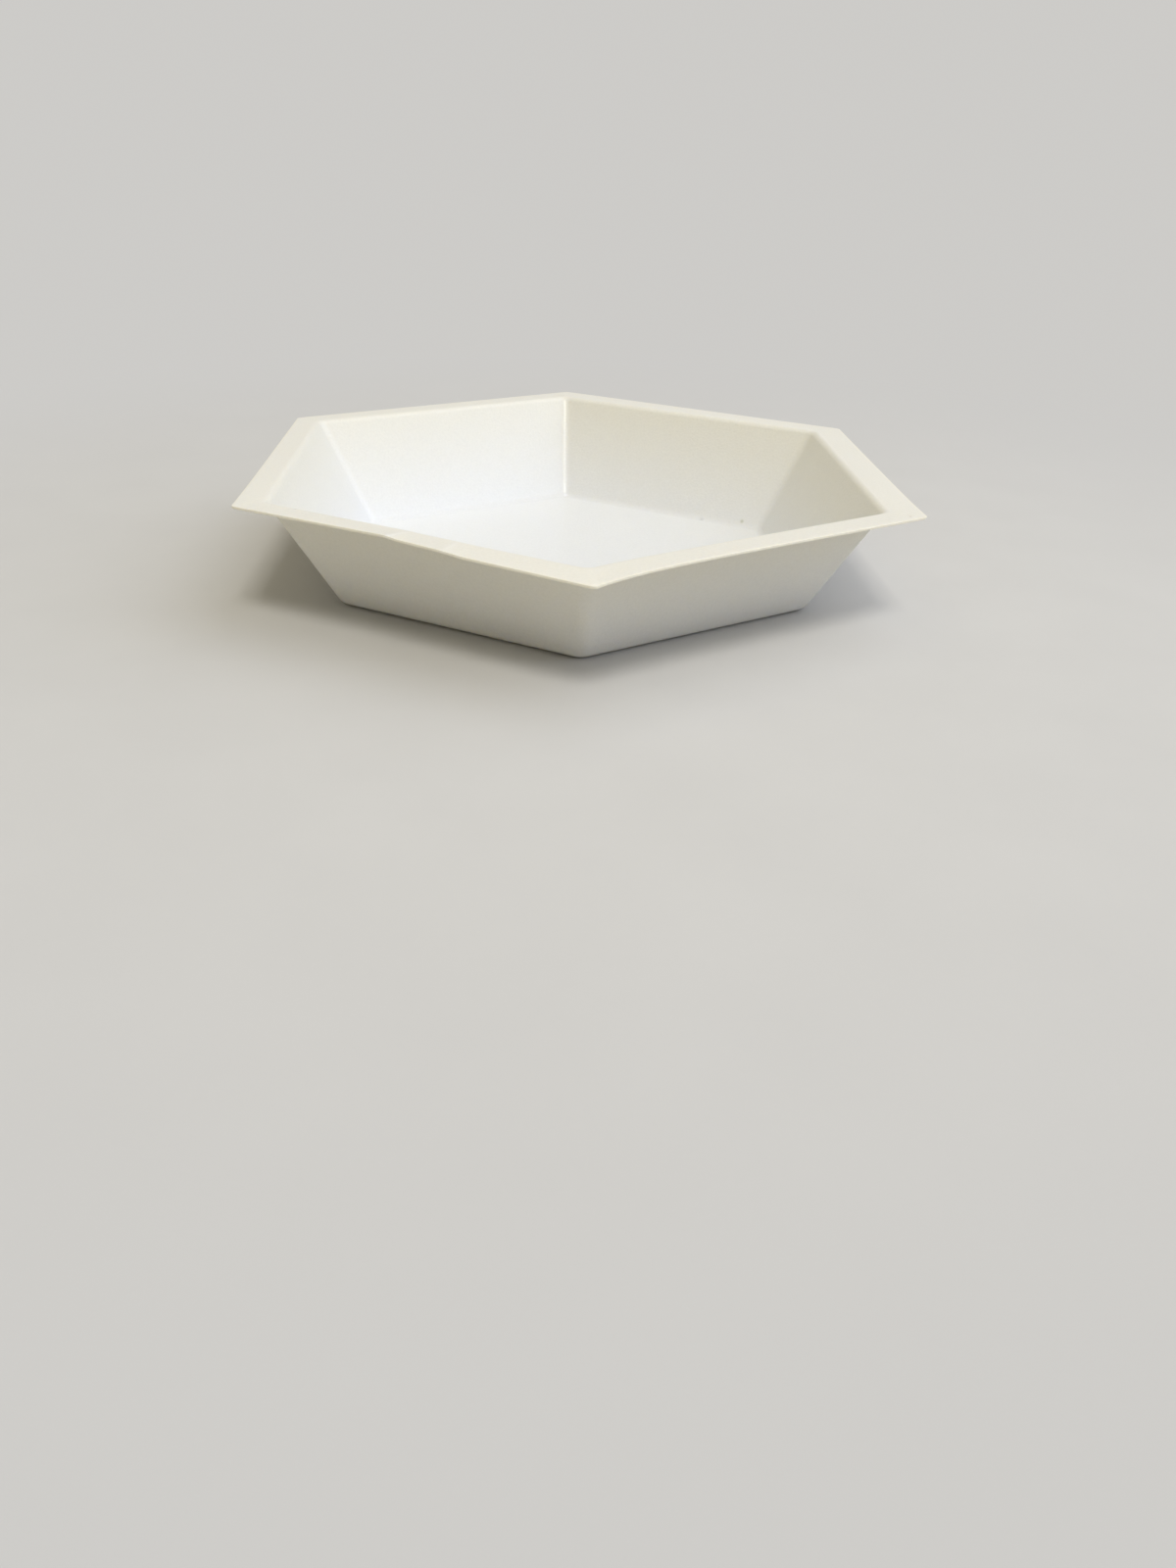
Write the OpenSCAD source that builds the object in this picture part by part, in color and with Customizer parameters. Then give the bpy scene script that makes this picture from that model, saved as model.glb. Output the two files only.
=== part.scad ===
// Hexagonal weighing boat, thermoformed in one piece from a sheet of polystyrene.
// A flat rim runs round a shallow bowl with six sloping walls and a flat floor.
// Millimetres, +Z up. The origin is the middle of the base, and the front corner
// of the hexagon points along -Y. The rim is bent a little, as it is on a boat in use.

/* [Bowl] */
// Width of the mouth between opposite walls, measured where rim and walls would meet unrounded
mouth_w = 109.4; // [96:0.1:124]
// Depth of the bowl from the face of the rim down to the floor
bowl_depth = 20.8; // [14:0.1:28]
// Slope of the walls, in degrees from upright
wall_draft = 28.2; // [15:0.1:32]
// Plan radius of the corners where two walls meet
corner_r = 2.5; // [1:0.1:6]
// Radius where the walls run into the floor
floor_r = 2; // [1:0.1:4]
// Radius of the bend from the rim down into the walls
mouth_r = 1.6; // [0.7:0.05:2.5]

/* [Rim] */
// Mean width of the flat rim, from the mouth to the trimmed edge
rim_w = 5.9; // [4.5:0.05:9]
// Radius of the trimmed outer corners
trim_r = 1.2; // [0.2:0.05:3]
// How far the trimmed outline sits to the right of the bowl
trim_shift_x = 0.7; // [-1:0.05:1]
// How far the trimmed outline sits behind the bowl, negative towards the front corner
trim_shift_y = -0.35; // [-1:0.05:1]

/* [Sheet] */
// Thickness of the rim, where the sheet keeps its full gauge
rim_t = 0.46; // [0.25:0.01:0.6]
// Thickness of the drawn walls
wall_t = 0.4; // [0.2:0.01:0.6]
// Thickness of the floor
floor_t = 0.35; // [0.2:0.01:0.6]

/* [Bent rim] */
// How far the front corner of the rim hangs down
front_sag = 0.85; // [0:0.05:1.5]
// How far the front right side of the rim stands up
right_lift = 0.4; // [0:0.05:1]
// How far the left corner of the rim stands up
left_lift = 0.3; // [0:0.05:1]
// Distance over which a bent corner fades into the flat rim
bend_reach = 8.4; // [3:0.1:20]
// Share of the bend that is left at the mouth, where the wall stiffens the rim
mouth_share = 0.25; // [0:0.01:0.6]

/* [Crease in the front left side] */
// Place of the ridge along the side, as a share from the left corner
ridge_at = 0.455; // [0.3:0.005:0.5]
// Height of the ridge
ridge_lift = 0.6; // [0:0.05:1.2]
// Length of the steep flank behind the ridge
flank_run = 2.5; // [1:0.1:5]
// Height at the bottom of that flank, where the creased facet starts
facet_lift = 0.3; // [0:0.05:1]
// Place of the second crease along the side, where the facet ends
second_at = 0.61; // [0.58:0.005:0.65]
// Drop of the rim at the second crease
second_sag = 0.05; // [0:0.05:0.5]
// Place where the rim is straight again
crease_end_at = 0.675; // [0.66:0.005:0.8]
// Drop of the rim where it is straight again
crease_end_sag = 0.42; // [0.1:0.02:0.8]
// How far the creases drift along the side, on their way from the trimmed edge to the mouth
crease_skew = 1.5; // [0:0.1:3]

/* [Smoothness] */
// Facets round each upright corner
corner_facets = 6; // [2:1:8]
// Facets round the mouth bend, and as many round the foot of the walls
bend_facets = 6; // [2:1:8]

/* [Hidden] */

SIDES = 6;
SIDE_TURN = 360 / SIDES;
FRONT = -90;

rim_z = floor_t + bowl_depth;
wall_turn = 90 - wall_draft;
mouth_u = mouth_w / 2;
floor_u = mouth_u - bowl_depth * tan(wall_draft);
trim_u = mouth_u + rim_w;
side_length = 2 * trim_u * tan(SIDE_TURN / 2);

// Where the two rounded bends of the section run out, as distances from the bowl's axis.
mouth_edge = mouth_u + mouth_r * tan(wall_turn / 2);
floor_edge = floor_u - floor_r * tan(wall_turn / 2);

// Places along each side, as shares of its straight part, where the rim's height is worked out.
// The sides go round anticlockwise from the front corner, and the last one holds the crease.
flank_end_at = ridge_at + flank_run / side_length;
side_places = [
    [0.04, 0.08, 0.13, 0.19, 0.27, 0.38, 0.55, 0.77],
    [0.05, 0.12, 0.22, 0.5],
    [0.5],
    [0.5],
    [0.5, 0.78, 0.88, 0.95],
    [0.23, ridge_at, flank_end_at, (flank_end_at + second_at) / 2, second_at, crease_end_at, 0.84],
];

crease_profile = [
    [0, left_lift],
    [ridge_at, ridge_lift],
    [flank_end_at, facet_lift],
    [second_at, -second_sag],
    [crease_end_at, -crease_end_sag],
    [1, -front_sag],
];

function mix(a, b, share) = a + (b - a) * share;

function fade(distance) = exp(-distance / bend_reach);

// Height of the rim's outer edge above the flat, at a share of the way along a side.
function edge_lift(side, share) =
    side == 0 ? right_lift - (right_lift + front_sag) * fade(share * side_length)
    : side == 1 ? right_lift * fade(share * side_length)
    : side == 4 ? left_lift * fade((1 - share) * side_length)
    : side == 5 ? lookup(share, crease_profile)
    : 0;

// A hexagon with rounded corners, as points. u is half its width between sides.
function corner_point(u, r, corner, angle) =
    let (heading = FRONT + corner * SIDE_TURN, reach = (u - r) / cos(SIDE_TURN / 2))
    reach * [cos(heading), sin(heading)] + r * [cos(heading + angle), sin(heading + angle)];

function corner_arc(u, r, corner) =
    [for (i = [0:corner_facets])
        corner_point(u, r, corner, SIDE_TURN * (i / corner_facets - 0.5))];

// The points along the creased side drift by skew, and those of the other sides don't.
function side_line(u, r, side, skew) =
    let (start = corner_point(u, r, side, SIDE_TURN / 2),
         end = corner_point(u, r, side + 1, -SIDE_TURN / 2),
         drift = side == SIDES - 1 ? skew / side_length : 0)
    [for (share = side_places[side]) mix(start, end, share + drift)];

function outline(u, r, skew) =
    [for (side = [0:SIDES - 1]) each concat(corner_arc(u, r, side), side_line(u, r, side, skew))];

// The line on which the sheet is trimmed. Its facets lie between those of the formed sheet.
trim_shift = [trim_shift_x, trim_shift_y];
trim_line =
    [for (corner = [0:SIDES - 1], i = [0.5:corner_facets])
        trim_shift + corner_point(trim_u, trim_r, corner, SIDE_TURN * (i / corner_facets - 0.5))];

lifts =
    [for (side = [0:SIDES - 1])
        each concat([for (i = [0:corner_facets]) edge_lift(side, 0)],
                    [for (share = side_places[side]) edge_lift(side, share)])];

// The section of the sheet from its spare edge in to the floor. Each station is
// [distance from the axis, height, lean of the sheet, thickness, share of the rim's width].
SPARE = 1.4;
rim_stations = [for (share = [SPARE, 0.9, 0.45]) [mouth_edge, rim_z, 0, rim_t, share]];

mouth_stations =
    [for (i = [0:bend_facets])
        let (share = i / bend_facets, lean = wall_turn * share)
        [mouth_edge - mouth_r * sin(lean), rim_z - mouth_r * (1 - cos(lean)), lean,
         mix(rim_t, wall_t, share), 0]];

floor_stations =
    [for (i = [bend_facets:-1:0])
        let (share = i / bend_facets, lean = wall_turn * share)
        [floor_edge + floor_r * sin(lean), floor_t + floor_r * (1 - cos(lean)), lean,
         mix(floor_t, wall_t, share), 0]];

wall_stations = [mix(mouth_stations[bend_facets], floor_stations[0], 0.5)];

stations = concat(rim_stations, mouth_stations, wall_stations, floor_stations);

// One ring of points of the sheet's face. depth is 0 on the upper face, 1 on the lower one.
// The bend of the rim carries on down into the walls and dies out towards the floor.
function sheet_ring(station, depth) =
    let (skin = station[3] * depth,
         across = skin * sin(station[2]),
         z = station[1] - skin * cos(station[2]),
         reach = station[4],
         spare_w = max(0, reach - 1) * rim_w,
         bowl = outline(station[0] + across, corner_r + across, crease_skew),
         rim = outline(trim_u + spare_w, trim_r + spare_w, 0),
         bend = mix(mouth_share * pow((station[1] - floor_t) / bowl_depth, 2), 1, reach))
    [for (i = [0:len(bowl) - 1])
        let (xy = mix(bowl[i], rim[i] + trim_shift, min(1, reach)))
        [xy[0], xy[1], z + bend * lifts[i]]];

// A closed solid from rings of points, with a middle point at each end.
module skinned(first_middle, rings, last_middle) {
    count = len(rings[0]);
    last = len(rings) - 1;
    points = concat([first_middle], [for (ring = rings) each ring], [last_middle]);
    end = len(points) - 1;
    first_cap = [for (i = [0:count - 1]) [0, 1 + (i + 1) % count, 1 + i]];
    bands =
        [for (j = [0:last - 1], i = [0:count - 1])
            let (a = 1 + j * count + i, b = 1 + j * count + (i + 1) % count)
            each [[a, b, a + count], [b, b + count, a + count]]];
    last_cap =
        [for (i = [0:count - 1])
            [end, 1 + last * count + i, 1 + last * count + (i + 1) % count]];
    polyhedron(points, concat(first_cap, bands, last_cap));
}

// The sheet as it is formed, with a rim SPARE times as wide as the trimmed one.
module formed_sheet() {
    upper_from_floor = [for (i = [len(stations) - 1:-1:0]) sheet_ring(stations[i], 0)];
    lower_from_edge = [for (station = stations) sheet_ring(station, 1)];
    skinned([0, 0, floor_t], concat(upper_from_floor, lower_from_edge), [0, 0, 0]);
}

// The formed sheet, trimmed straight down all round.
module weighing_boat() {
    color("ivory") intersection() {
        formed_sheet();
        linear_extrude(2 * rim_z) polygon(trim_line);
    }
}

weighing_boat();
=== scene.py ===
"""Looks of a hexagonal weighing boat: the formed sheet of polystyrene, and a plain studio."""

import math
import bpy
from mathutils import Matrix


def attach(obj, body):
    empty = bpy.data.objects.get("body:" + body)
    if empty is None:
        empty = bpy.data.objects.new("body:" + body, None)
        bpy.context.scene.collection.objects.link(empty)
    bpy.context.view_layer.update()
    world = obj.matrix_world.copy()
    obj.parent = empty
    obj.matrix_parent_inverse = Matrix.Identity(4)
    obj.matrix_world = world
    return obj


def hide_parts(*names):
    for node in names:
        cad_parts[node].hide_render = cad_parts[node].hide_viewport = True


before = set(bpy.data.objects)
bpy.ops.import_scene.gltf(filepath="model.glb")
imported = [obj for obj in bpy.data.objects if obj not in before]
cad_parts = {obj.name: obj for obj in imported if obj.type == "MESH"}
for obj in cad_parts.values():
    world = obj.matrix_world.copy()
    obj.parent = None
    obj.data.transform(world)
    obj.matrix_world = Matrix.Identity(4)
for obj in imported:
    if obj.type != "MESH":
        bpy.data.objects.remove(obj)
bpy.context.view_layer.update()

from types import SimpleNamespace

import bpy
from mathutils import Vector

bl_info = {
    "name": "Weighing boat",
    "version": (1, 0, 0),
    "blender": (4, 5, 0),
    "location": "View3D > Sidebar > Weighing boat",
    "description": "Forms a hexagonal weighing boat and sets up a studio for it",
    "category": "Object",
}

MM = 0.001
SIDES = 6
SIDE_TURN = math.tau / SIDES
FRONT = -math.pi / 2
CAD_NODE = "weighing_boat"
BODY = "root"


# Sizes and colours


def length(name, description, default_mm, low_mm, high_mm):
    """A length in the sidebar, given here in millimetres."""
    return bpy.props.FloatProperty(
        name=name, description=description, default=default_mm * MM, min=low_mm * MM,
        max=high_mm * MM, subtype="DISTANCE", unit="LENGTH", precision=5)


def share(name, description, default):
    """A share from 0 to 1 in the sidebar."""
    return bpy.props.FloatProperty(
        name=name, description=description, default=default, min=0, max=1, subtype="FACTOR")


def colour(name, description, default):
    """A colour in the sidebar."""
    return bpy.props.FloatVectorProperty(
        name=name, description=description, default=default, min=0, max=1, size=3,
        subtype="COLOR")


def power(name, description, default):
    """The power of a lamp in the sidebar."""
    return bpy.props.FloatProperty(
        name=name, description=description, default=default, min=0, unit="POWER")


class BOAT_PG_sheet(bpy.types.PropertyGroup):
    """Sizes of the formed sheet."""

    mouth_width: length(
        "Mouth width", "Between opposite walls, where rim and walls would meet", 109.4, 96, 124)
    bowl_depth: length("Bowl depth", "From the face of the rim down to the floor", 20.8, 14, 28)
    wall_draft: bpy.props.FloatProperty(
        name="Wall draft", description="Slope of the walls from upright",
        default=math.radians(28.2), min=math.radians(15), max=math.radians(32),
        subtype="ANGLE", unit="ROTATION")
    corner_radius: length(
        "Corner radius", "Plan radius of the corners where two walls meet", 2.5, 1, 6)
    floor_radius: length("Floor radius", "Where the walls run into the floor", 2, 1, 4)
    mouth_radius: length("Mouth radius", "Of the bend from the rim into the walls", 1.6, 0.7, 2.5)
    rim_width: length("Rim width", "From the mouth to the trimmed edge", 5.9, 4.5, 9)
    trim_radius: length("Trim radius", "Of the trimmed outer corners", 1.2, 0.2, 3)
    trim_shift_x: length("Trim shift X", "Of the trimmed outline to the right", 0.7, -1, 1)
    trim_shift_y: length("Trim shift Y", "Of the trimmed outline to the back", -0.35, -1, 1)
    rim_thickness: length("Rim thickness", "Of the sheet in the rim", 0.46, 0.25, 0.6)
    wall_thickness: length("Wall thickness", "Of the sheet in the walls", 0.4, 0.2, 0.6)
    floor_thickness: length("Floor thickness", "Of the sheet in the floor", 0.35, 0.2, 0.6)
    edge_radius: length("Edge radius", "How far the trimmed edge bulges", 0.07, 0.01, 0.15)
    front_sag: length("Front sag", "How far the front corner hangs down", 0.85, 0, 1.5)
    right_lift: length("Right lift", "How far the front right side stands up", 0.4, 0, 1)
    left_lift: length("Left lift", "How far the left corner stands up", 0.3, 0, 1)
    bend_reach: length("Bend reach", "Over which a bent corner fades", 8.4, 3, 20)
    mouth_share: share("Mouth share", "Of the rim's bend that is left at the mouth", 0.25)
    ridge_place: share("Ridge place", "Along the front left side, from the left", 0.455)
    ridge_lift: length("Ridge lift", "Height of the ridge", 0.6, 0, 1.2)
    flank_run: length("Flank run", "Length of the steep flank behind the ridge", 2.5, 1, 5)
    facet_lift: length("Facet lift", "Height at the bottom of the flank", 0.3, 0, 1)
    second_place: share("Second crease place", "Along the side, where the facet ends", 0.61)
    second_sag: length("Second crease sag", "Drop at the second crease", 0.05, 0, 0.5)
    crease_end_place: share("Crease end place", "Where the rim is straight again", 0.675)
    crease_end_sag: length("Crease end sag", "Drop where the rim is straight", 0.42, 0.1, 0.8)
    crease_skew: length(
        "Crease skew", "Drift of the creases from the edge to the mouth", 1.5, 0, 3)


class BOAT_PG_finish(bpy.types.PropertyGroup):
    """Colours and surface of the polystyrene."""

    floor_colour: colour("Floor", "Of the floor", (0.82, 0.82, 0.788))
    foot_colour: colour("Foot", "Of the foot of the walls", (0.803, 0.803, 0.775))
    mouth_colour: colour("Mouth", "Of the top of the walls", (0.78, 0.751, 0.643))
    rim_colour: colour("Rim", "Of the rim", (0.823, 0.792, 0.686))
    # Painted light: the trimmed edge is drawn lighter and yellower than the rim, for light
    # shining through the sheet's cut edge.
    edge_light_colour: colour("Edge", "Of the trimmed edge", (0.92, 0.86, 0.68))
    roughness: share("Roughness", "Of the satin surface", 0.42)
    gloss: share("Gloss", "Share of the thin glossy skin over it", 0.25)
    grain_size: length("Grain size", "Of the fine grain in the surface", 0.45, 0.1, 2)


class BOAT_PG_studio(bpy.types.PropertyGroup):
    """Colours and lamps of the studio."""

    sweep_colour: colour("Sweep", "Of the floor and backdrop", (0.61, 0.6, 0.58))
    front_power: power("Front light", "Of the light above the front", 10.5)
    side_power: power("Side light", "Of the broad cool light above the right", 14.4)
    low_power: power("Low light", "Of the broad cool light at the front right", 4.4)
    sky_strength: share("Sky", "Strength of the even light all round", 0.5)


# Arithmetic with nodes


class Formula:
    """A number that nodes work out, so that a shape in a node tree reads as arithmetic."""

    def __init__(self, tree, socket):
        self.tree = tree
        self.socket = socket

    def __add__(self, other):
        return work("ADD", self, other)

    def __sub__(self, other):
        return work("SUBTRACT", self, other)

    def __rsub__(self, other):
        return work("SUBTRACT", other, self)

    def __mul__(self, other):
        return work("MULTIPLY", self, other)

    def __truediv__(self, other):
        return work("DIVIDE", self, other)

    def __pow__(self, other):
        return work("POWER", self, other)

    def __neg__(self):
        return self * -1

    __radd__ = __add__
    __rmul__ = __mul__


def feed(tree, slot, value):
    """Links a formula to a node's input, or sets the input to a plain value."""
    if isinstance(value, Formula):
        tree.links.new(value.socket, slot)
    else:
        slot.default_value = value


def work(operation, *values, clamp=False):
    """One arithmetic node on these formulas and numbers."""
    tree = next(value.tree for value in values if isinstance(value, Formula))
    node = tree.nodes.new("ShaderNodeMath")
    node.operation = operation
    node.use_clamp = clamp
    for slot, value in zip(node.inputs, values):
        feed(tree, slot, value)
    return Formula(tree, node.outputs[0])


def ramp(value, start, end, rise=1, smooth=False):
    """Climbs from 0 to rise while value goes from start to end."""
    tree = value.tree
    node = tree.nodes.new("ShaderNodeMapRange")
    node.interpolation_type = "SMOOTHSTEP" if smooth else "LINEAR"
    settings = {"Value": value, "From Min": start, "From Max": end, "To Min": 0, "To Max": rise}
    for name, setting in settings.items():
        feed(tree, node.inputs[name], setting)
    return Formula(tree, node.outputs["Result"])


def mix(a, b, part):
    return a + (b - a) * part


def progress(count, start, run):
    """How far count has come through a run of that many steps, from 0 to 1."""
    return work("DIVIDE", count - start, run, clamp=True)


def fade(distance, reach):
    return work("EXPONENT", -distance / reach)


def arrange(tree):
    """Puts the tree's nodes in columns, each to the right of what it reads."""
    column, filled = {}, {}

    def place(node):
        if node.name not in column:
            before = [link.from_node for slot in node.inputs for link in slot.links]
            column[node.name] = 1 + max((place(n) for n in before), default=-1)
        return column[node.name]

    for node in tree.nodes:
        x = place(node)
        node.location = (220 * x, -180 * filled.get(x, 0))
        filled[x] = filled.get(x, 0) + 1


# The formed sheet

ARC_STEPS = 5
SIDE_STEPS = 160
SIXTH_STEPS = SIDE_STEPS + 2 * ARC_STEPS
FLOOR_STEPS = 2
FOOT_STEPS = 8
WALL_STEPS = 4
MOUTH_STEPS = 10
RIM_STEPS = 8
EDGE_STEPS = 8
FACE_STEPS = FLOOR_STEPS + FOOT_STEPS + WALL_STEPS + MOUTH_STEPS + RIM_STEPS
SECTION_STEPS = 2 * FACE_STEPS + EDGE_STEPS
MERGE_DISTANCE = 0.002 * MM
# The power that squares off the rounded section of the trimmed edge.
EDGE_POWER = 0.5
# How far the sheet stays inside the CAD solid's box.
BOX_MARGIN = 0.01 * MM
# The painted marks of the creases, as shares of the side: half the width of the painted highlight
# along each crease, and how far the painted shade dip reaches before it. The second line is
# fainter.
CREASE_WIDTH = 0.007
DIP_REACH = 0.1
SECOND_LINE = 0.6
# Shares of the side between which the drift of the creases is full.
DRIFT_RISE = 0.23
DRIFT_FALL = 0.84


def creased(side):
    """1 along the last side, which holds the creases."""
    return work("COMPARE", side, SIDES - 1, 0.5)


def outline_formulas(around, drift):
    """Where a point stands on a hexagon with rounded corners, by its count of steps around.

    Gives its side, its share of that side, the point of the sharp hexagon of inradius 1 that it
    belongs to, that point moved on by drift where the creases are, and the direction in which
    the outline faces there.
    """
    side = work("MINIMUM", work("FLOOR", (around + 0.5) / SIXTH_STEPS), SIDES - 1)
    step = around - side * SIXTH_STEPS
    along = progress(step, ARC_STEPS, SIDE_STEPS)
    rounded = progress(step, 0, ARC_STEPS) + progress(step, ARC_STEPS + SIDE_STEPS, ARC_STEPS)
    corner = FRONT + side * SIDE_TURN
    middle = corner + SIDE_TURN / 2
    heading = corner + rounded * (SIDE_TURN / 2)
    towards = (work("COSINE", middle), work("SINE", middle))
    drifted = along + drift * creased(side) * (
        ramp(along, 0, DRIFT_RISE) - ramp(along, DRIFT_FALL, 1))
    sharp, moved = [], []
    for points, part in ((sharp, along), (moved, drifted)):
        offset = (part * 2 - 1) * math.tan(SIDE_TURN / 2)
        points += (towards[0] - towards[1] * offset, towards[1] + towards[0] * offset)
    facing = (work("COSINE", heading), work("SINE", heading))
    return side, along, sharp, moved, facing


def lift_formula(size, side, along, side_length):
    """Height of the rim's outer edge above the flat."""
    distance = along * side_length
    flank_end = size.ridge_place + size.flank_run / side_length
    front_right = size.right_lift - (size.right_lift + size.front_sag) * fade(
        distance, size.bend_reach)
    front_left = (
        size.left_lift
        + ramp(along, 0, size.ridge_place, size.ridge_lift - size.left_lift)
        + ramp(along, size.ridge_place, flank_end, size.facet_lift - size.ridge_lift)
        + ramp(along, flank_end, size.second_place, -(size.facet_lift + size.second_sag))
        + ramp(along, size.second_place, size.crease_end_place,
               size.second_sag - size.crease_end_sag)
        + ramp(along, size.crease_end_place, 1, size.crease_end_sag - size.front_sag))
    lifts = {
        0: front_right,
        1: size.right_lift * fade(distance, size.bend_reach),
        4: size.left_lift * fade(side_length - distance, size.bend_reach),
        5: front_left,
    }
    return sum(lift * work("COMPARE", side, number, 0.5) for number, lift in lifts.items())


def section_formulas(size, down):
    """The section of the sheet, by the count of steps from the middle of the floor out over the
    upper face to the trimmed edge, and back along the lower face."""
    steps = work("MINIMUM", work("MINIMUM", SECTION_STEPS - down, down), FACE_STEPS)
    parts, start = [], 0
    for count in (FLOOR_STEPS, FOOT_STEPS, WALL_STEPS, MOUTH_STEPS, RIM_STEPS):
        parts.append(progress(steps, start, count))
        start += count
    floor, foot, wall, mouth, rim = parts

    wall_turn = math.pi / 2 - size.wall_draft
    half_turn = work("TANGENT", wall_turn / 2)
    floor_edge = (size.mouth_width / 2 - size.bowl_depth * work("TANGENT", size.wall_draft)
                  - size.floor_radius * half_turn)
    mouth_edge = size.mouth_width / 2 + size.mouth_radius * half_turn
    foot_lean = wall_turn * foot
    mouth_lean = wall_turn * (1 - mouth)
    bends_run = (size.floor_radius + size.mouth_radius) * work("SINE", wall_turn)
    bends_rise = (size.floor_radius + size.mouth_radius) * (1 - work("COSINE", wall_turn))
    mouth_run = size.mouth_radius * (work("SINE", wall_turn) - work("SINE", mouth_lean))
    mouth_rise = size.mouth_radius * (work("COSINE", mouth_lean) - work("COSINE", wall_turn))
    run = (size.floor_radius * work("SINE", foot_lean)
           + (mouth_edge - floor_edge - bends_run) * wall + mouth_run)
    rise = (size.floor_radius * (1 - work("COSINE", foot_lean))
            + (size.bowl_depth - bends_rise) * wall + mouth_rise)
    thickness = (size.floor_thickness + (size.wall_thickness - size.floor_thickness) * foot
                 + (size.rim_thickness - size.wall_thickness) * mouth)

    turn = progress(down, FACE_STEPS, EDGE_STEPS) * math.pi
    swing = work("COSINE", turn)
    lower = 0.5 - work("SIGN", swing) * work("ABSOLUTE", swing) ** EDGE_POWER / 2
    bulge = size.edge_radius * (work("ABSOLUTE", work("SINE", turn)) ** EDGE_POWER - rim)
    return SimpleNamespace(
        floor=floor, foot=foot, mouth=mouth, rim=rim, floor_edge=floor_edge, run=run, rise=rise,
        lower=lower, lean=foot_lean + mouth_lean - wall_turn, skin=thickness * lower,
        bulge=bulge)


def sheet_formulas(size, index):
    """The place of each point of the sheet, and the masks that its finish reads."""
    rows = SECTION_STEPS + 1
    around = work("FLOOR", (index + 0.5) / rows)
    trim_u = size.mouth_width / 2 + size.rim_width - BOX_MARGIN
    side_length = trim_u * (2 * math.tan(SIDE_TURN / 2))
    side, along, sharp, moved, facing = outline_formulas(around, size.crease_skew / side_length)
    part = section_formulas(size, index - around * rows)

    lift = lift_formula(size, side, along, side_length)
    stiffened = size.mouth_share * (part.rise / size.bowl_depth) ** 2
    across = part.skin * work("SINE", part.lean)
    place = []
    for axis, shift in enumerate((size.trim_shift_x, size.trim_shift_y)):
        floor = (part.floor_edge - size.corner_radius) * moved[axis]
        bowl = (part.floor * (floor + size.corner_radius * facing[axis])
                + part.run * moved[axis] + across * facing[axis])
        trim = (trim_u - size.trim_radius) * sharp[axis] + size.trim_radius * facing[axis] + shift
        place.append(mix(bowl, trim, part.rim) + part.bulge * facing[axis])
    place.append(size.floor_thickness + part.rise - part.skin * work("COSINE", part.lean)
                 + mix(stiffened, 1, part.rim) * lift - BOX_MARGIN * part.rim)

    # Painted light along the front left side: a painted highlight line at each crease and a
    # painted shade dip before it, in place of the shading of the bent sheet.
    lines, dips = [], []
    for at in (size.ridge_place, size.second_place):
        line = at + CREASE_WIDTH
        lines.append(work("EXPONENT", -((along - line) / CREASE_WIDTH) ** 2))
        dips.append(ramp(along, at - DIP_REACH, at) - ramp(along, at, line))
    folded = creased(side) * part.rim ** 0.5
    masks = {
        "foot_share": part.foot,
        "mouth_share": part.mouth,
        "rim_share": part.rim,
        "lower_face": part.lower,
        "crease_line": (lines[0] + lines[1] * SECOND_LINE) * folded,
        "crease_dip": (dips[0] + dips[1]) * folded,
    }
    return place, masks


def chain(tree, mesh, kind, **settings):
    """Passes the mesh through one more node, and returns the mesh that comes out."""
    node = tree.nodes.new(kind)
    tree.links.new(mesh, node.inputs[0])
    for name, value in settings.items():
        feed(tree, node.inputs[name.replace("_", " ").title()], value)
    return node.outputs[0]


def sheet_tree(sizes, material):
    """The node tree that forms the sheet, and the socket of each of its sizes."""
    tree = bpy.data.node_groups.new("formed sheet", "GeometryNodeTree")
    tree.is_modifier = True
    tree.interface.new_socket("Sheet", in_out="OUTPUT", socket_type="NodeSocketGeometry")
    sockets = {}
    for prop in sizes.bl_rna.properties:
        if prop.type == "FLOAT":
            socket = tree.interface.new_socket(
                prop.name, in_out="INPUT", socket_type="NodeSocketFloat")
            socket.description = prop.description
            socket.subtype = prop.subtype
            socket.default_value = prop.default
            sockets[prop.identifier] = socket
    entry = tree.nodes.new("NodeGroupInput")
    size = SimpleNamespace(**{
        key: Formula(tree, entry.outputs[socket.name]) for key, socket in sockets.items()})
    index = Formula(tree, tree.nodes.new("GeometryNodeInputIndex").outputs[0])
    place, masks = sheet_formulas(size, index)
    position = tree.nodes.new("ShaderNodeCombineXYZ")
    for slot, value in zip(position.inputs, place):
        feed(tree, slot, value)

    grid = tree.nodes.new("GeometryNodeMeshGrid")
    grid.inputs["Vertices X"].default_value = SIDES * SIXTH_STEPS + 1
    grid.inputs["Vertices Y"].default_value = SECTION_STEPS + 1
    mesh = grid.outputs["Mesh"]
    for name, mask in masks.items():
        mesh = chain(tree, mesh, "GeometryNodeStoreNamedAttribute", name=name, value=mask)
    mesh = chain(tree, mesh, "GeometryNodeSetPosition",
                 position=Formula(tree, position.outputs[0]))
    mesh = chain(tree, mesh, "GeometryNodeMergeByDistance", distance=MERGE_DISTANCE)
    mesh = chain(tree, mesh, "GeometryNodeFlipFaces")
    mesh = chain(tree, mesh, "GeometryNodeSetShadeSmooth")
    mesh = chain(tree, mesh, "GeometryNodeRealizeInstances")
    mesh = chain(tree, mesh, "GeometryNodeSetMaterial", material=material)
    tree.links.new(mesh, tree.nodes.new("NodeGroupOutput").inputs["Sheet"])
    arrange(tree)
    return tree, sockets


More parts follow.
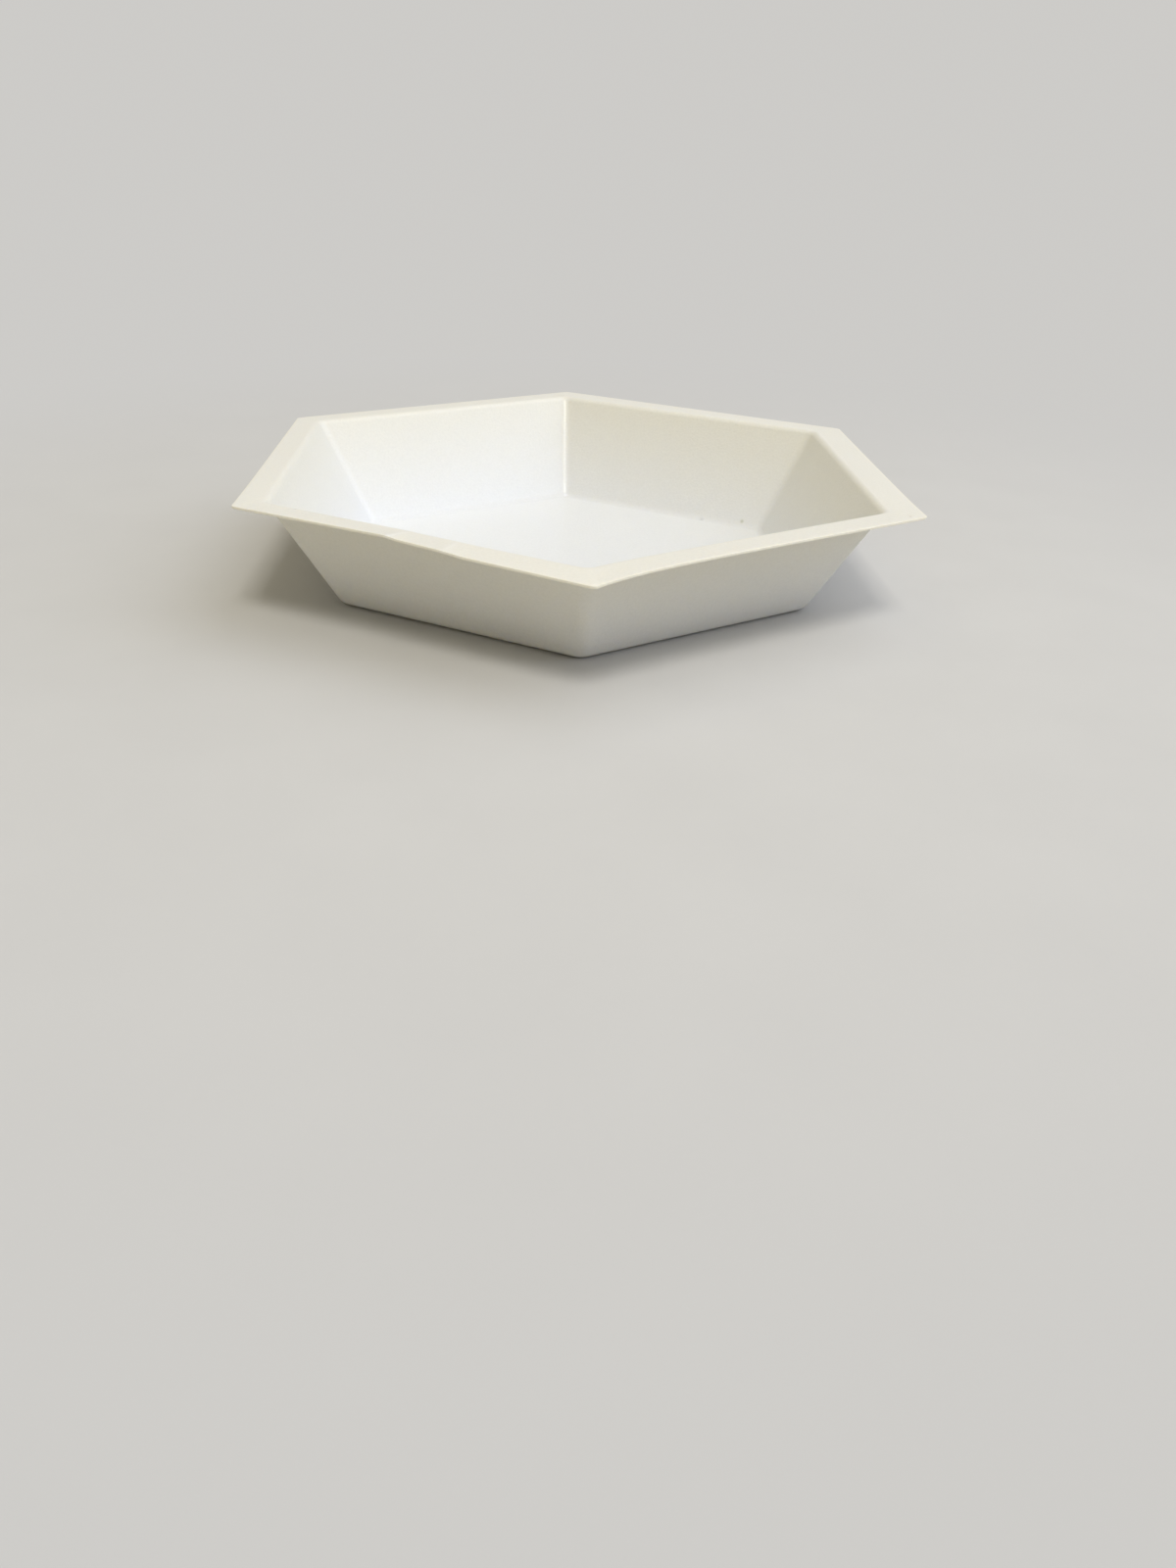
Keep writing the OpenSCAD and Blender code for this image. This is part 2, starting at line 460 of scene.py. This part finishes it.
def form_sheet(sizes, material):
    """The boat as a plain closed mesh, with its place in the mesh."""
    boat = bpy.data.objects.new("formed_boat", bpy.data.meshes.new("formed_boat"))
    bpy.context.scene.collection.objects.link(boat)
    tree, sockets = sheet_tree(sizes, material)
    modifier = boat.modifiers.new("Formed sheet", "NODES")
    modifier.node_group = tree
    for key, socket in sockets.items():
        modifier[socket.identifier] = getattr(sizes, key)
    shaped = boat.evaluated_get(bpy.context.evaluated_depsgraph_get())
    mesh = bpy.data.meshes.new_from_object(shaped)
    boat.modifiers.remove(modifier)
    boat.data = mesh
    mesh.name = boat.name
    edge_uses = [0] * len(mesh.edges)
    for loop in mesh.loops:
        edge_uses[loop.edge_index] += 1
    if not edge_uses or set(edge_uses) != {2}:
        raise RuntimeError("the formed sheet isn't closed")
    return boat


# The finish

BLACK = (0, 0, 0)
WHITE = (1, 1, 1)
# How much of each painted mark or grain shows in the polystyrene's colour, as shares: the painted
# light of the trimmed edge, the painted shade before the creases, the painted highlight along
# them, the painted shade in the foot, and the darker grain.
EDGE_PAINTED_LIGHT = 0.5
DIP_SHADE = 0.04
LINE_HIGHLIGHT = 0.25
FOOT_SHADE = 0.045
GRAIN_SHADE = 0.1
# What each adds to the roughness.
MOTTLE_ROUGHNESS = 0.06
LOWER_ROUGHNESS = 0.08
FOOT_ROUGHNESS = 0.3
# Where the painted light of the trimmed edge starts, as a share of the rim's width.
TINT_FROM = 0.9
# The fine grain: its relief, how much finer it is than the mottling, and the range of noise that
# the mottling is stretched from.
GRAIN_RELIEF = 0.1 * MM
GRAIN_STRENGTH = 0.5
MOTTLE_SCALE = 0.06
MOTTLE_RANGE = (0.3, 0.7)
POLYSTYRENE_IOR = 1.59
SKIN_ROUGHNESS = 0.2
LIGHT_LEAK = 0.15
LEAK_DEPTH = 2 * MM
LEAK_TINT = (1, 0.8, 0.5)
# Specks of dirt, and a painted glint as a white dot at the foot of the back corner, each with its
# place and its reach in millimetres, and its colour.
DIRT_SPECKS_AND_GLINT = (
    (39.86, 27.91, 1.39, 0.7, (0.58, 0.59, 0.49)),
    (31.18, 31.84, 0.53, 0.8, (0.68, 0.68, 0.65)),
    (-48.9, -35.6, 21.3, 0.35, (0.36, 0.3, 0.22)),
    (58.29, -34.94, 21.45, 0.35, (0.5, 0.36, 0.28)),
    # A painted glint: a white dot where the back corner runs into the floor.
    (0.3, 49.8, 0.7, 0.8, (1, 1, 1)),
)


def node_in(tree, kind, **settings):
    """A new node with its inputs, or its settings where it has no input of that name."""
    node = tree.nodes.new(kind)
    for name, value in settings.items():
        slot = node.inputs.get(name.replace("_", " ").title())
        if slot:
            feed(tree, slot, value)
        else:
            setattr(node, name, value)
    return node


def out(tree, node, name):
    return Formula(tree, node.outputs[name])


def opaque(rgb):
    return (*rgb, 1)


def fine_grain():
    """A group that gives the height and the mottling of a fine even grain."""
    tree = bpy.data.node_groups.new("fine grain", "ShaderNodeTree")
    tree.interface.new_socket("Place", in_out="INPUT", socket_type="NodeSocketVector")
    tree.interface.new_socket("Size", in_out="INPUT", socket_type="NodeSocketFloat")
    tree.interface.new_socket("Height", in_out="OUTPUT", socket_type="NodeSocketFloat")
    tree.interface.new_socket("Mottle", in_out="OUTPUT", socket_type="NodeSocketFloat")
    entry = tree.nodes.new("NodeGroupInput")
    place, size = out(tree, entry, "Place"), out(tree, entry, "Size")
    fine = node_in(tree, "ShaderNodeTexNoise", vector=place, detail=2,
                   scale=work("DIVIDE", 1, size))
    broad = node_in(tree, "ShaderNodeTexNoise", vector=place, detail=4,
                    scale=work("DIVIDE", MOTTLE_SCALE, size))
    leave = tree.nodes.new("NodeGroupOutput")
    feed(tree, leave.inputs["Height"], out(tree, fine, "Fac"))
    feed(tree, leave.inputs["Mottle"], ramp(out(tree, broad, "Fac"), *MOTTLE_RANGE))
    arrange(tree)
    return tree


def blend_colours(tree, a, b, part):
    """One colour over another, by a mask."""
    node = tree.nodes.new("ShaderNodeMix")
    node.data_type = "RGBA"
    for slot, value in zip((node.inputs["Factor"], node.inputs[6], node.inputs[7]),
                           (part, a, b)):
        feed(tree, slot, value)
    return Formula(tree, node.outputs[2])


def polystyrene(finish, sizes, grain):
    """Satin polystyrene, white in the bowl and yellowed towards the rim, with painted light along
    the trimmed edge and the creases, painted shade in the foot and before the creases, and a
    painted glint at the foot of the back corner.
    """
    material = bpy.data.materials.new("polystyrene")
    material.use_nodes = True
    tree = material.node_tree
    tree.nodes.clear()
    place = out(tree, tree.nodes.new("ShaderNodeTexCoord"), "Object")
    height = out(tree, node_in(tree, "ShaderNodeSeparateXYZ", vector=place), "Z")
    speckle = tree.nodes.new("ShaderNodeGroup")
    speckle.node_tree = grain
    feed(tree, speckle.inputs["Place"], place)
    speckle.inputs["Size"].default_value = finish.grain_size
    mask = {name: out(tree, node_in(tree, "ShaderNodeAttribute", attribute_name=name), "Fac")
            for name in ("foot_share", "mouth_share", "rim_share", "lower_face", "crease_line",
                         "crease_dip")}

    top = sizes.floor_thickness + sizes.bowl_depth
    off_floor = ramp(height, sizes.floor_thickness, sizes.floor_thickness + sizes.floor_radius,
                 smooth=True)
    aged = ramp(height, sizes.floor_thickness + sizes.floor_radius, top)
    trimmed = ramp(mask["rim_share"], TINT_FROM, 1, smooth=True)
    # The floor is drawn a little whiter than the foot of the walls: painted light, as if lit
    # through the floor from below.
    body = blend_colours(tree, opaque(finish.floor_colour), opaque(finish.foot_colour), off_floor)
    body = blend_colours(tree, body, opaque(finish.mouth_colour), aged)
    body = blend_colours(tree, body, opaque(finish.rim_colour), mask["mouth_share"])
    # Painted light along the trimmed edge: lighter and yellower, for light shining through the
    # cut edge.
    body = blend_colours(tree, body, opaque(finish.edge_light_colour), trimmed * EDGE_PAINTED_LIGHT)
    # Painted shade in the dip before each crease, and a painted highlight along each crease.
    body = blend_colours(tree, body, opaque(BLACK), mask["crease_dip"] * DIP_SHADE)
    body = blend_colours(tree, body, opaque(WHITE), mask["crease_line"] * LINE_HIGHLIGHT)
    # Paints the specks of dirt, and the white dot of the painted glint.
    for spot in DIRT_SPECKS_AND_GLINT:
        away = node_in(tree, "ShaderNodeVectorMath", operation="DISTANCE")
        feed(tree, away.inputs[0], place)
        away.inputs[1].default_value = Vector(spot[:3]) * MM
        near = ramp(out(tree, away, "Value"), spot[3] * MM, 0, smooth=True)
        body = blend_colours(tree, body, opaque(spot[4]), near)
    # 1 half way round the foot, and 0 on the floor and the walls.
    in_foot = mask["foot_share"] * (1 - mask["foot_share"]) * 4
    # Painted shade darkens the bend where the walls run into the floor; the grain darkens the
    # colour at random.
    shade = in_foot * FOOT_SHADE + out(tree, speckle, "Height") * GRAIN_SHADE
    body = blend_colours(tree, body, opaque(BLACK), shade)
    satin = (finish.roughness + out(tree, speckle, "Mottle") * MOTTLE_ROUGHNESS
             + mask["lower_face"] * LOWER_ROUGHNESS + in_foot * FOOT_ROUGHNESS)
    bump = node_in(tree, "ShaderNodeBump", strength=GRAIN_STRENGTH, distance=GRAIN_RELIEF,
                   height=out(tree, speckle, "Height"))
    shader = tree.nodes.new("ShaderNodeBsdfPrincipled")
    settings = {"Base Color": body, "Roughness": satin,
                "Normal": out(tree, bump, "Normal"), "IOR": POLYSTYRENE_IOR,
                "Coat Weight": finish.gloss, "Coat Roughness": SKIN_ROUGHNESS,
                "Subsurface Weight": LIGHT_LEAK, "Subsurface Scale": LEAK_DEPTH,
                "Subsurface Radius": LEAK_TINT}
    for name, value in settings.items():
        feed(tree, shader.inputs[name], value)
    feed(tree, tree.nodes.new("ShaderNodeOutputMaterial").inputs["Surface"],
         out(tree, shader, "BSDF"))
    arrange(tree)
    return material


# The studio

CAMERA_PLACE = Vector((-9.67, -244.5, 82.39)) * MM
CAMERA_TURN = [math.radians(angle) for angle in (61.252, -1.691, -2.512)]
CAMERA_LENS = 28.147
SENSOR_WIDTH = 36
LIGHT_DISTANCE = 1.6
# Each light's azimuth and elevation in degrees, its size and its tint.
FRONT_LIGHT = (-86, 59, 0.4, (1.02, 1, 0.98))
SIDE_LIGHT = (10, 50, 2, (0.86, 0.95, 1.19))
LOW_LIGHT = (-20, 35, 1.6, (0.82, 0.93, 1.25))
SKY_TINT = (1.14, 1.05, 0.81)
SWEEP_RADIUS = 2.2
SWEEP_BEND = 0.8
SWEEP_HEIGHT = 2
SWEEP_GAP = 0.02 * MM
# How bright white paper gets under the lights. The lit paper is darker by as much, so that it
# meets the evenly lit part without a seam, between these distances from the middle.
FLOOR_LIGHT = (1.09, 1.095, 1.127)
EVEN_FROM = 0.08
EVEN_TO = 0.24
PAPER_GRAIN = 1.5 * MM
PAPER_MOTTLE = (1.015, 0.985)
PAPER_ROUGHNESS = 0.9
PAPER_STRENGTH = 0.1
SWEEP_SEGMENTS = 96
BEND_SEGMENTS = 16


def is_seen(tree):
    """1 for rays that come from the camera, straight or by way of a gloss or through glass."""
    path = tree.nodes.new("ShaderNodeLightPath")
    rays = [out(tree, path, f"Is {kind} Ray") for kind in ("Camera", "Glossy", "Transmission")]
    return work("MAXIMUM", work("MAXIMUM", rays[0], rays[1]), rays[2])


def sweep_material(studio, grain):
    """Plain matt paper with a faint grain, which is seen evenly lit away from the boat."""
    material = bpy.data.materials.new("sweep paper")
    material.use_nodes = True
    tree = material.node_tree
    tree.nodes.clear()
    place = out(tree, tree.nodes.new("ShaderNodeTexCoord"), "Object")
    fibres = tree.nodes.new("ShaderNodeGroup")
    fibres.node_tree = grain
    feed(tree, fibres.inputs["Place"], place)
    fibres.inputs["Size"].default_value = PAPER_GRAIN
    base, darker = (opaque([channel * part / light for channel, light in
                            zip(studio.sweep_colour, FLOOR_LIGHT)]) for part in PAPER_MOTTLE)
    paper = blend_colours(tree, base, darker, out(tree, fibres, "Mottle"))
    bump = node_in(tree, "ShaderNodeBump", strength=PAPER_STRENGTH, distance=GRAIN_RELIEF,
                   height=out(tree, fibres, "Height"))
    shader = tree.nodes.new("ShaderNodeBsdfPrincipled")
    for name, value in {"Base Color": paper, "Roughness": PAPER_ROUGHNESS,
                        "Normal": out(tree, bump, "Normal")}.items():
        feed(tree, shader.inputs[name], value)
    even = node_in(tree, "ShaderNodeEmission", color=opaque(studio.sweep_colour), strength=1)
    axes = node_in(tree, "ShaderNodeSeparateXYZ", vector=place)
    away = (out(tree, axes, "X") ** 2 + out(tree, axes, "Y") ** 2) ** 0.5
    part = is_seen(tree) * ramp(away, EVEN_FROM, EVEN_TO, smooth=True)
    blend = node_in(tree, "ShaderNodeMixShader", fac=part)
    tree.links.new(shader.outputs["BSDF"], blend.inputs[1])
    tree.links.new(even.outputs["Emission"], blend.inputs[2])
    tree.links.new(blend.outputs["Shader"],
                   tree.nodes.new("ShaderNodeOutputMaterial").inputs["Surface"])
    arrange(tree)
    return material


def studio_sweep(material):
    """A round floor that curves up into a backdrop on all sides."""
    profile = [(SWEEP_RADIUS - SWEEP_BEND, 0)]
    for step in range(1, BEND_SEGMENTS + 1):
        angle = math.pi / 2 * step / BEND_SEGMENTS
        profile.append((SWEEP_RADIUS - SWEEP_BEND * (1 - math.sin(angle)),
                        SWEEP_BEND * (1 - math.cos(angle))))
    profile.append((SWEEP_RADIUS, SWEEP_HEIGHT))
    points = [(0, 0, -SWEEP_GAP)]
    for radius, height in profile:
        for segment in range(SWEEP_SEGMENTS):
            angle = math.tau * segment / SWEEP_SEGMENTS
            points.append((radius * math.cos(angle), radius * math.sin(angle),
                           height - SWEEP_GAP))
    faces = []
    for segment in range(SWEEP_SEGMENTS):
        following = (segment + 1) % SWEEP_SEGMENTS
        faces.append((0, 1 + segment, 1 + following))
        for ring in range(len(profile) - 1):
            inner, outer = 1 + ring * SWEEP_SEGMENTS, 1 + (ring + 1) * SWEEP_SEGMENTS
            faces.append((inner + segment, outer + segment, outer + following,
                          inner + following))
    mesh = bpy.data.meshes.new("studio_sweep")
    mesh.from_pydata(points, [], faces)
    mesh.shade_smooth()
    mesh.materials.append(material)
    sweep = bpy.data.objects.new("studio_sweep", mesh)
    bpy.context.scene.collection.objects.link(sweep)


def soft_light(name, watts, azimuth, elevation, size, tint):
    """A square area light that faces the boat, LIGHT_DISTANCE away. Azimuth 0 is along +X."""
    turn, tilt = math.radians(azimuth), math.radians(elevation)
    place = LIGHT_DISTANCE * Vector((
        math.cos(tilt) * math.cos(turn), math.cos(tilt) * math.sin(turn), math.sin(tilt)))
    light = bpy.data.lights.new(name, "AREA")
    light.shape = "SQUARE"
    light.size = size
    light.energy = watts
    light.color = tint
    lamp = bpy.data.objects.new(name, light)
    lamp.location = place
    lamp.rotation_euler = (-place).to_track_quat("-Z", "Y").to_euler()
    bpy.context.scene.collection.objects.link(lamp)


def studio_camera():
    camera = bpy.data.objects.new("camera", bpy.data.cameras.new("camera"))
    camera.data.lens = CAMERA_LENS
    camera.data.sensor_width = SENSOR_WIDTH
    camera.data.clip_start = 10 * MM
    camera.location = CAMERA_PLACE
    camera.rotation_euler = CAMERA_TURN
    bpy.context.scene.collection.objects.link(camera)
    bpy.context.scene.camera = camera


def set_world(tint, strength):
    world = bpy.data.worlds.new("studio")
    world.use_nodes = True
    background = world.node_tree.nodes["Background"]
    background.inputs["Color"].default_value = opaque(tint)
    background.inputs["Strength"].default_value = strength
    bpy.context.scene.world = world


# Operators, sidebar and run


def grain_group():
    return bpy.data.node_groups.get("fine grain") or fine_grain()


class BOAT_OT_form_sheet(bpy.types.Operator):
    """Form the weighing boat from a sheet of polystyrene, in place of the CAD solid"""

    bl_idname = "weighing_boat.form_sheet"
    bl_label = "Form the boat"

    def execute(self, context):
        scene = context.scene
        material = polystyrene(scene.boat_finish, scene.boat_sheet, grain_group())
        boat = form_sheet(scene.boat_sheet, material)
        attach(boat, BODY)
        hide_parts(CAD_NODE)
        return {"FINISHED"}


class BOAT_OT_set_studio(bpy.types.Operator):
    """Set up the floor and backdrop, the soft lights and the camera"""

    bl_idname = "weighing_boat.set_studio"
    bl_label = "Set the studio"

    def execute(self, context):
        studio = context.scene.boat_studio
        studio_sweep(sweep_material(studio, grain_group()))
        soft_light("front light", studio.front_power, *FRONT_LIGHT)
        soft_light("side light", studio.side_power, *SIDE_LIGHT)
        soft_light("low light", studio.low_power, *LOW_LIGHT)
        set_world(SKY_TINT, studio.sky_strength)
        studio_camera()
        context.scene.view_settings.view_transform = "Standard"
        return {"FINISHED"}


class BOAT_PT_sidebar(bpy.types.Panel):
    """Sizes, colours and steps of the weighing boat"""

    bl_label = "Weighing boat"
    bl_space_type = "VIEW_3D"
    bl_region_type = "UI"
    bl_category = "Weighing boat"

    def draw(self, context):
        layout = self.layout
        layout.use_property_split = True
        for title, settings, step in (
                ("Sheet", context.scene.boat_sheet, None),
                ("Finish", context.scene.boat_finish, BOAT_OT_form_sheet.bl_idname),
                ("Studio", context.scene.boat_studio, BOAT_OT_set_studio.bl_idname)):
            box = layout.box()
            box.label(text=title)
            for key in settings.__annotations__:
                box.prop(settings, key)
            if step:
                box.operator(step)


GROUPS = {
    "boat_sheet": BOAT_PG_sheet,
    "boat_finish": BOAT_PG_finish,
    "boat_studio": BOAT_PG_studio,
}
CLASSES = (*GROUPS.values(), BOAT_OT_form_sheet, BOAT_OT_set_studio, BOAT_PT_sidebar)


def register():
    for cls in CLASSES:
        bpy.utils.register_class(cls)
    for key, group in GROUPS.items():
        setattr(bpy.types.Scene, key, bpy.props.PointerProperty(type=group))


def unregister():
    for key in GROUPS:
        delattr(bpy.types.Scene, key)
    for cls in reversed(CLASSES):
        bpy.utils.unregister_class(cls)


def main():
    register()
    bpy.ops.weighing_boat.form_sheet()
    bpy.ops.weighing_boat.set_studio()


if __name__ == "__main__":
    main()
